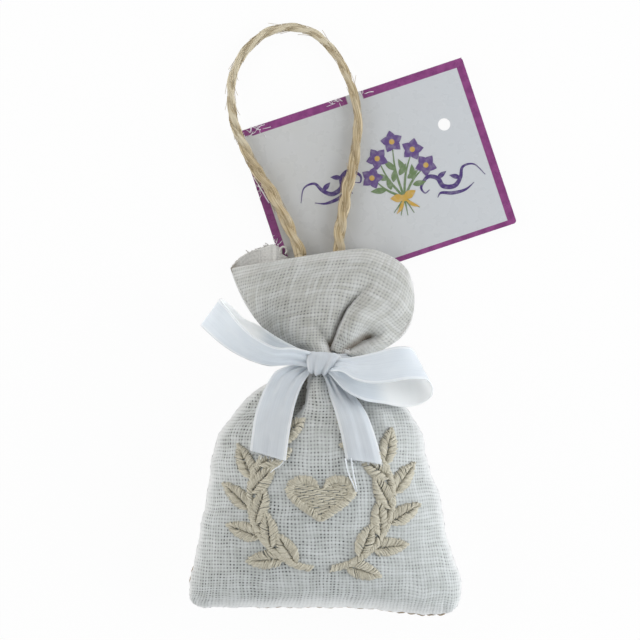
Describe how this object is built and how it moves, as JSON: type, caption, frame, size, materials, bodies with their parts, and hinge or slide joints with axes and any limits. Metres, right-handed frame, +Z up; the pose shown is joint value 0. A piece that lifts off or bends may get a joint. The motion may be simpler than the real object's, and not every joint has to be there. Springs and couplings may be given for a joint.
{
  "type": "lavender sachet",
  "caption": "Small linen pouch of dried lavender, gathered and tied with a ribbon bow, with a twine hanging loop, raised embroidery and a card tucked into its mouth.",
  "frame": {"origin": "middle of the flat patch on the pouch's back that rests on the table", "axes": "+X across the pouch to the right, +Y from its bottom seam towards its mouth and hanging loop, +Z up from the table"},
  "size_m": [0.0795, 0.1435, 0.0294],
  "materials": {
    "linen": "open plain weave of slubby off-white linen",
    "seam_thread": "matte sewing thread",
    "lavender": "loose dried flower buds",
    "embroidery_thread": "beige rayon satin stitch, slightly glossy",
    "ribbon": "white satin ribbon with woven edges",
    "jute": "twisted natural jute twine",
    "card": "laminated printed card with a purple border"
  },
  "bodies": {
    "pouch": {"front_panel": "linen", "back_panel": "linen", "seam_thread": "seam_thread", "lavender_filling": "lavender", "embroidery_branch_left": "embroidery_thread", "embroidery_branch_right": "embroidery_thread", "embroidery_heart": "embroidery_thread", "ribbon_band": "ribbon", "ribbon_knot": "ribbon", "twine_anchor": "jute"},
    "hanging_loop": {"twine_loop": "jute"},
    "card": {"label_card": "card"},
    "bow_left": {"bow_loop_left": "ribbon"},
    "bow_right": {"bow_loop_right": "ribbon"},
    "tail_left": {"bow_tail_left": "ribbon"},
    "tail_right": {"bow_tail_right": "ribbon"}
  },
  "joints": [
    {"name": "loop_lift", "type": "hinge", "parent": "pouch", "child": "hanging_loop", "pos_m": [-0.0018, 0.066, 0.00345], "axis": [1, 0, 0], "range_deg": [0, 80]},
    {"name": "card_pull", "type": "slide", "parent": "pouch", "child": "card", "axis": [0.9486, 0.3165, 0], "range_m": [0, 0.032]},
    {"name": "bow_left_lift", "type": "hinge", "parent": "pouch", "child": "bow_left", "pos_m": [-0.00711, 0.0374, 0.0195], "axis": [0.4384, 0.8988, 0], "range_deg": [0, 45]},
    {"name": "bow_right_lift", "type": "hinge", "parent": "pouch", "child": "bow_right", "pos_m": [0.00706, 0.036, 0.0195], "axis": [-0.2756, -0.9613, 0], "range_deg": [0, 45]},
    {"name": "tail_left_lift", "type": "hinge", "parent": "pouch", "child": "tail_left", "pos_m": [-0.004, 0.0323, 0.0199], "axis": [-0.9772, 0.2122, 0], "range_deg": [0, 60]},
    {"name": "tail_right_lift", "type": "hinge", "parent": "pouch", "child": "tail_right", "pos_m": [0.00583, 0.02188, 0.02608], "axis": [-0.8681, -0.3527, 0.3492], "range_deg": [0, 60]}
  ]
}
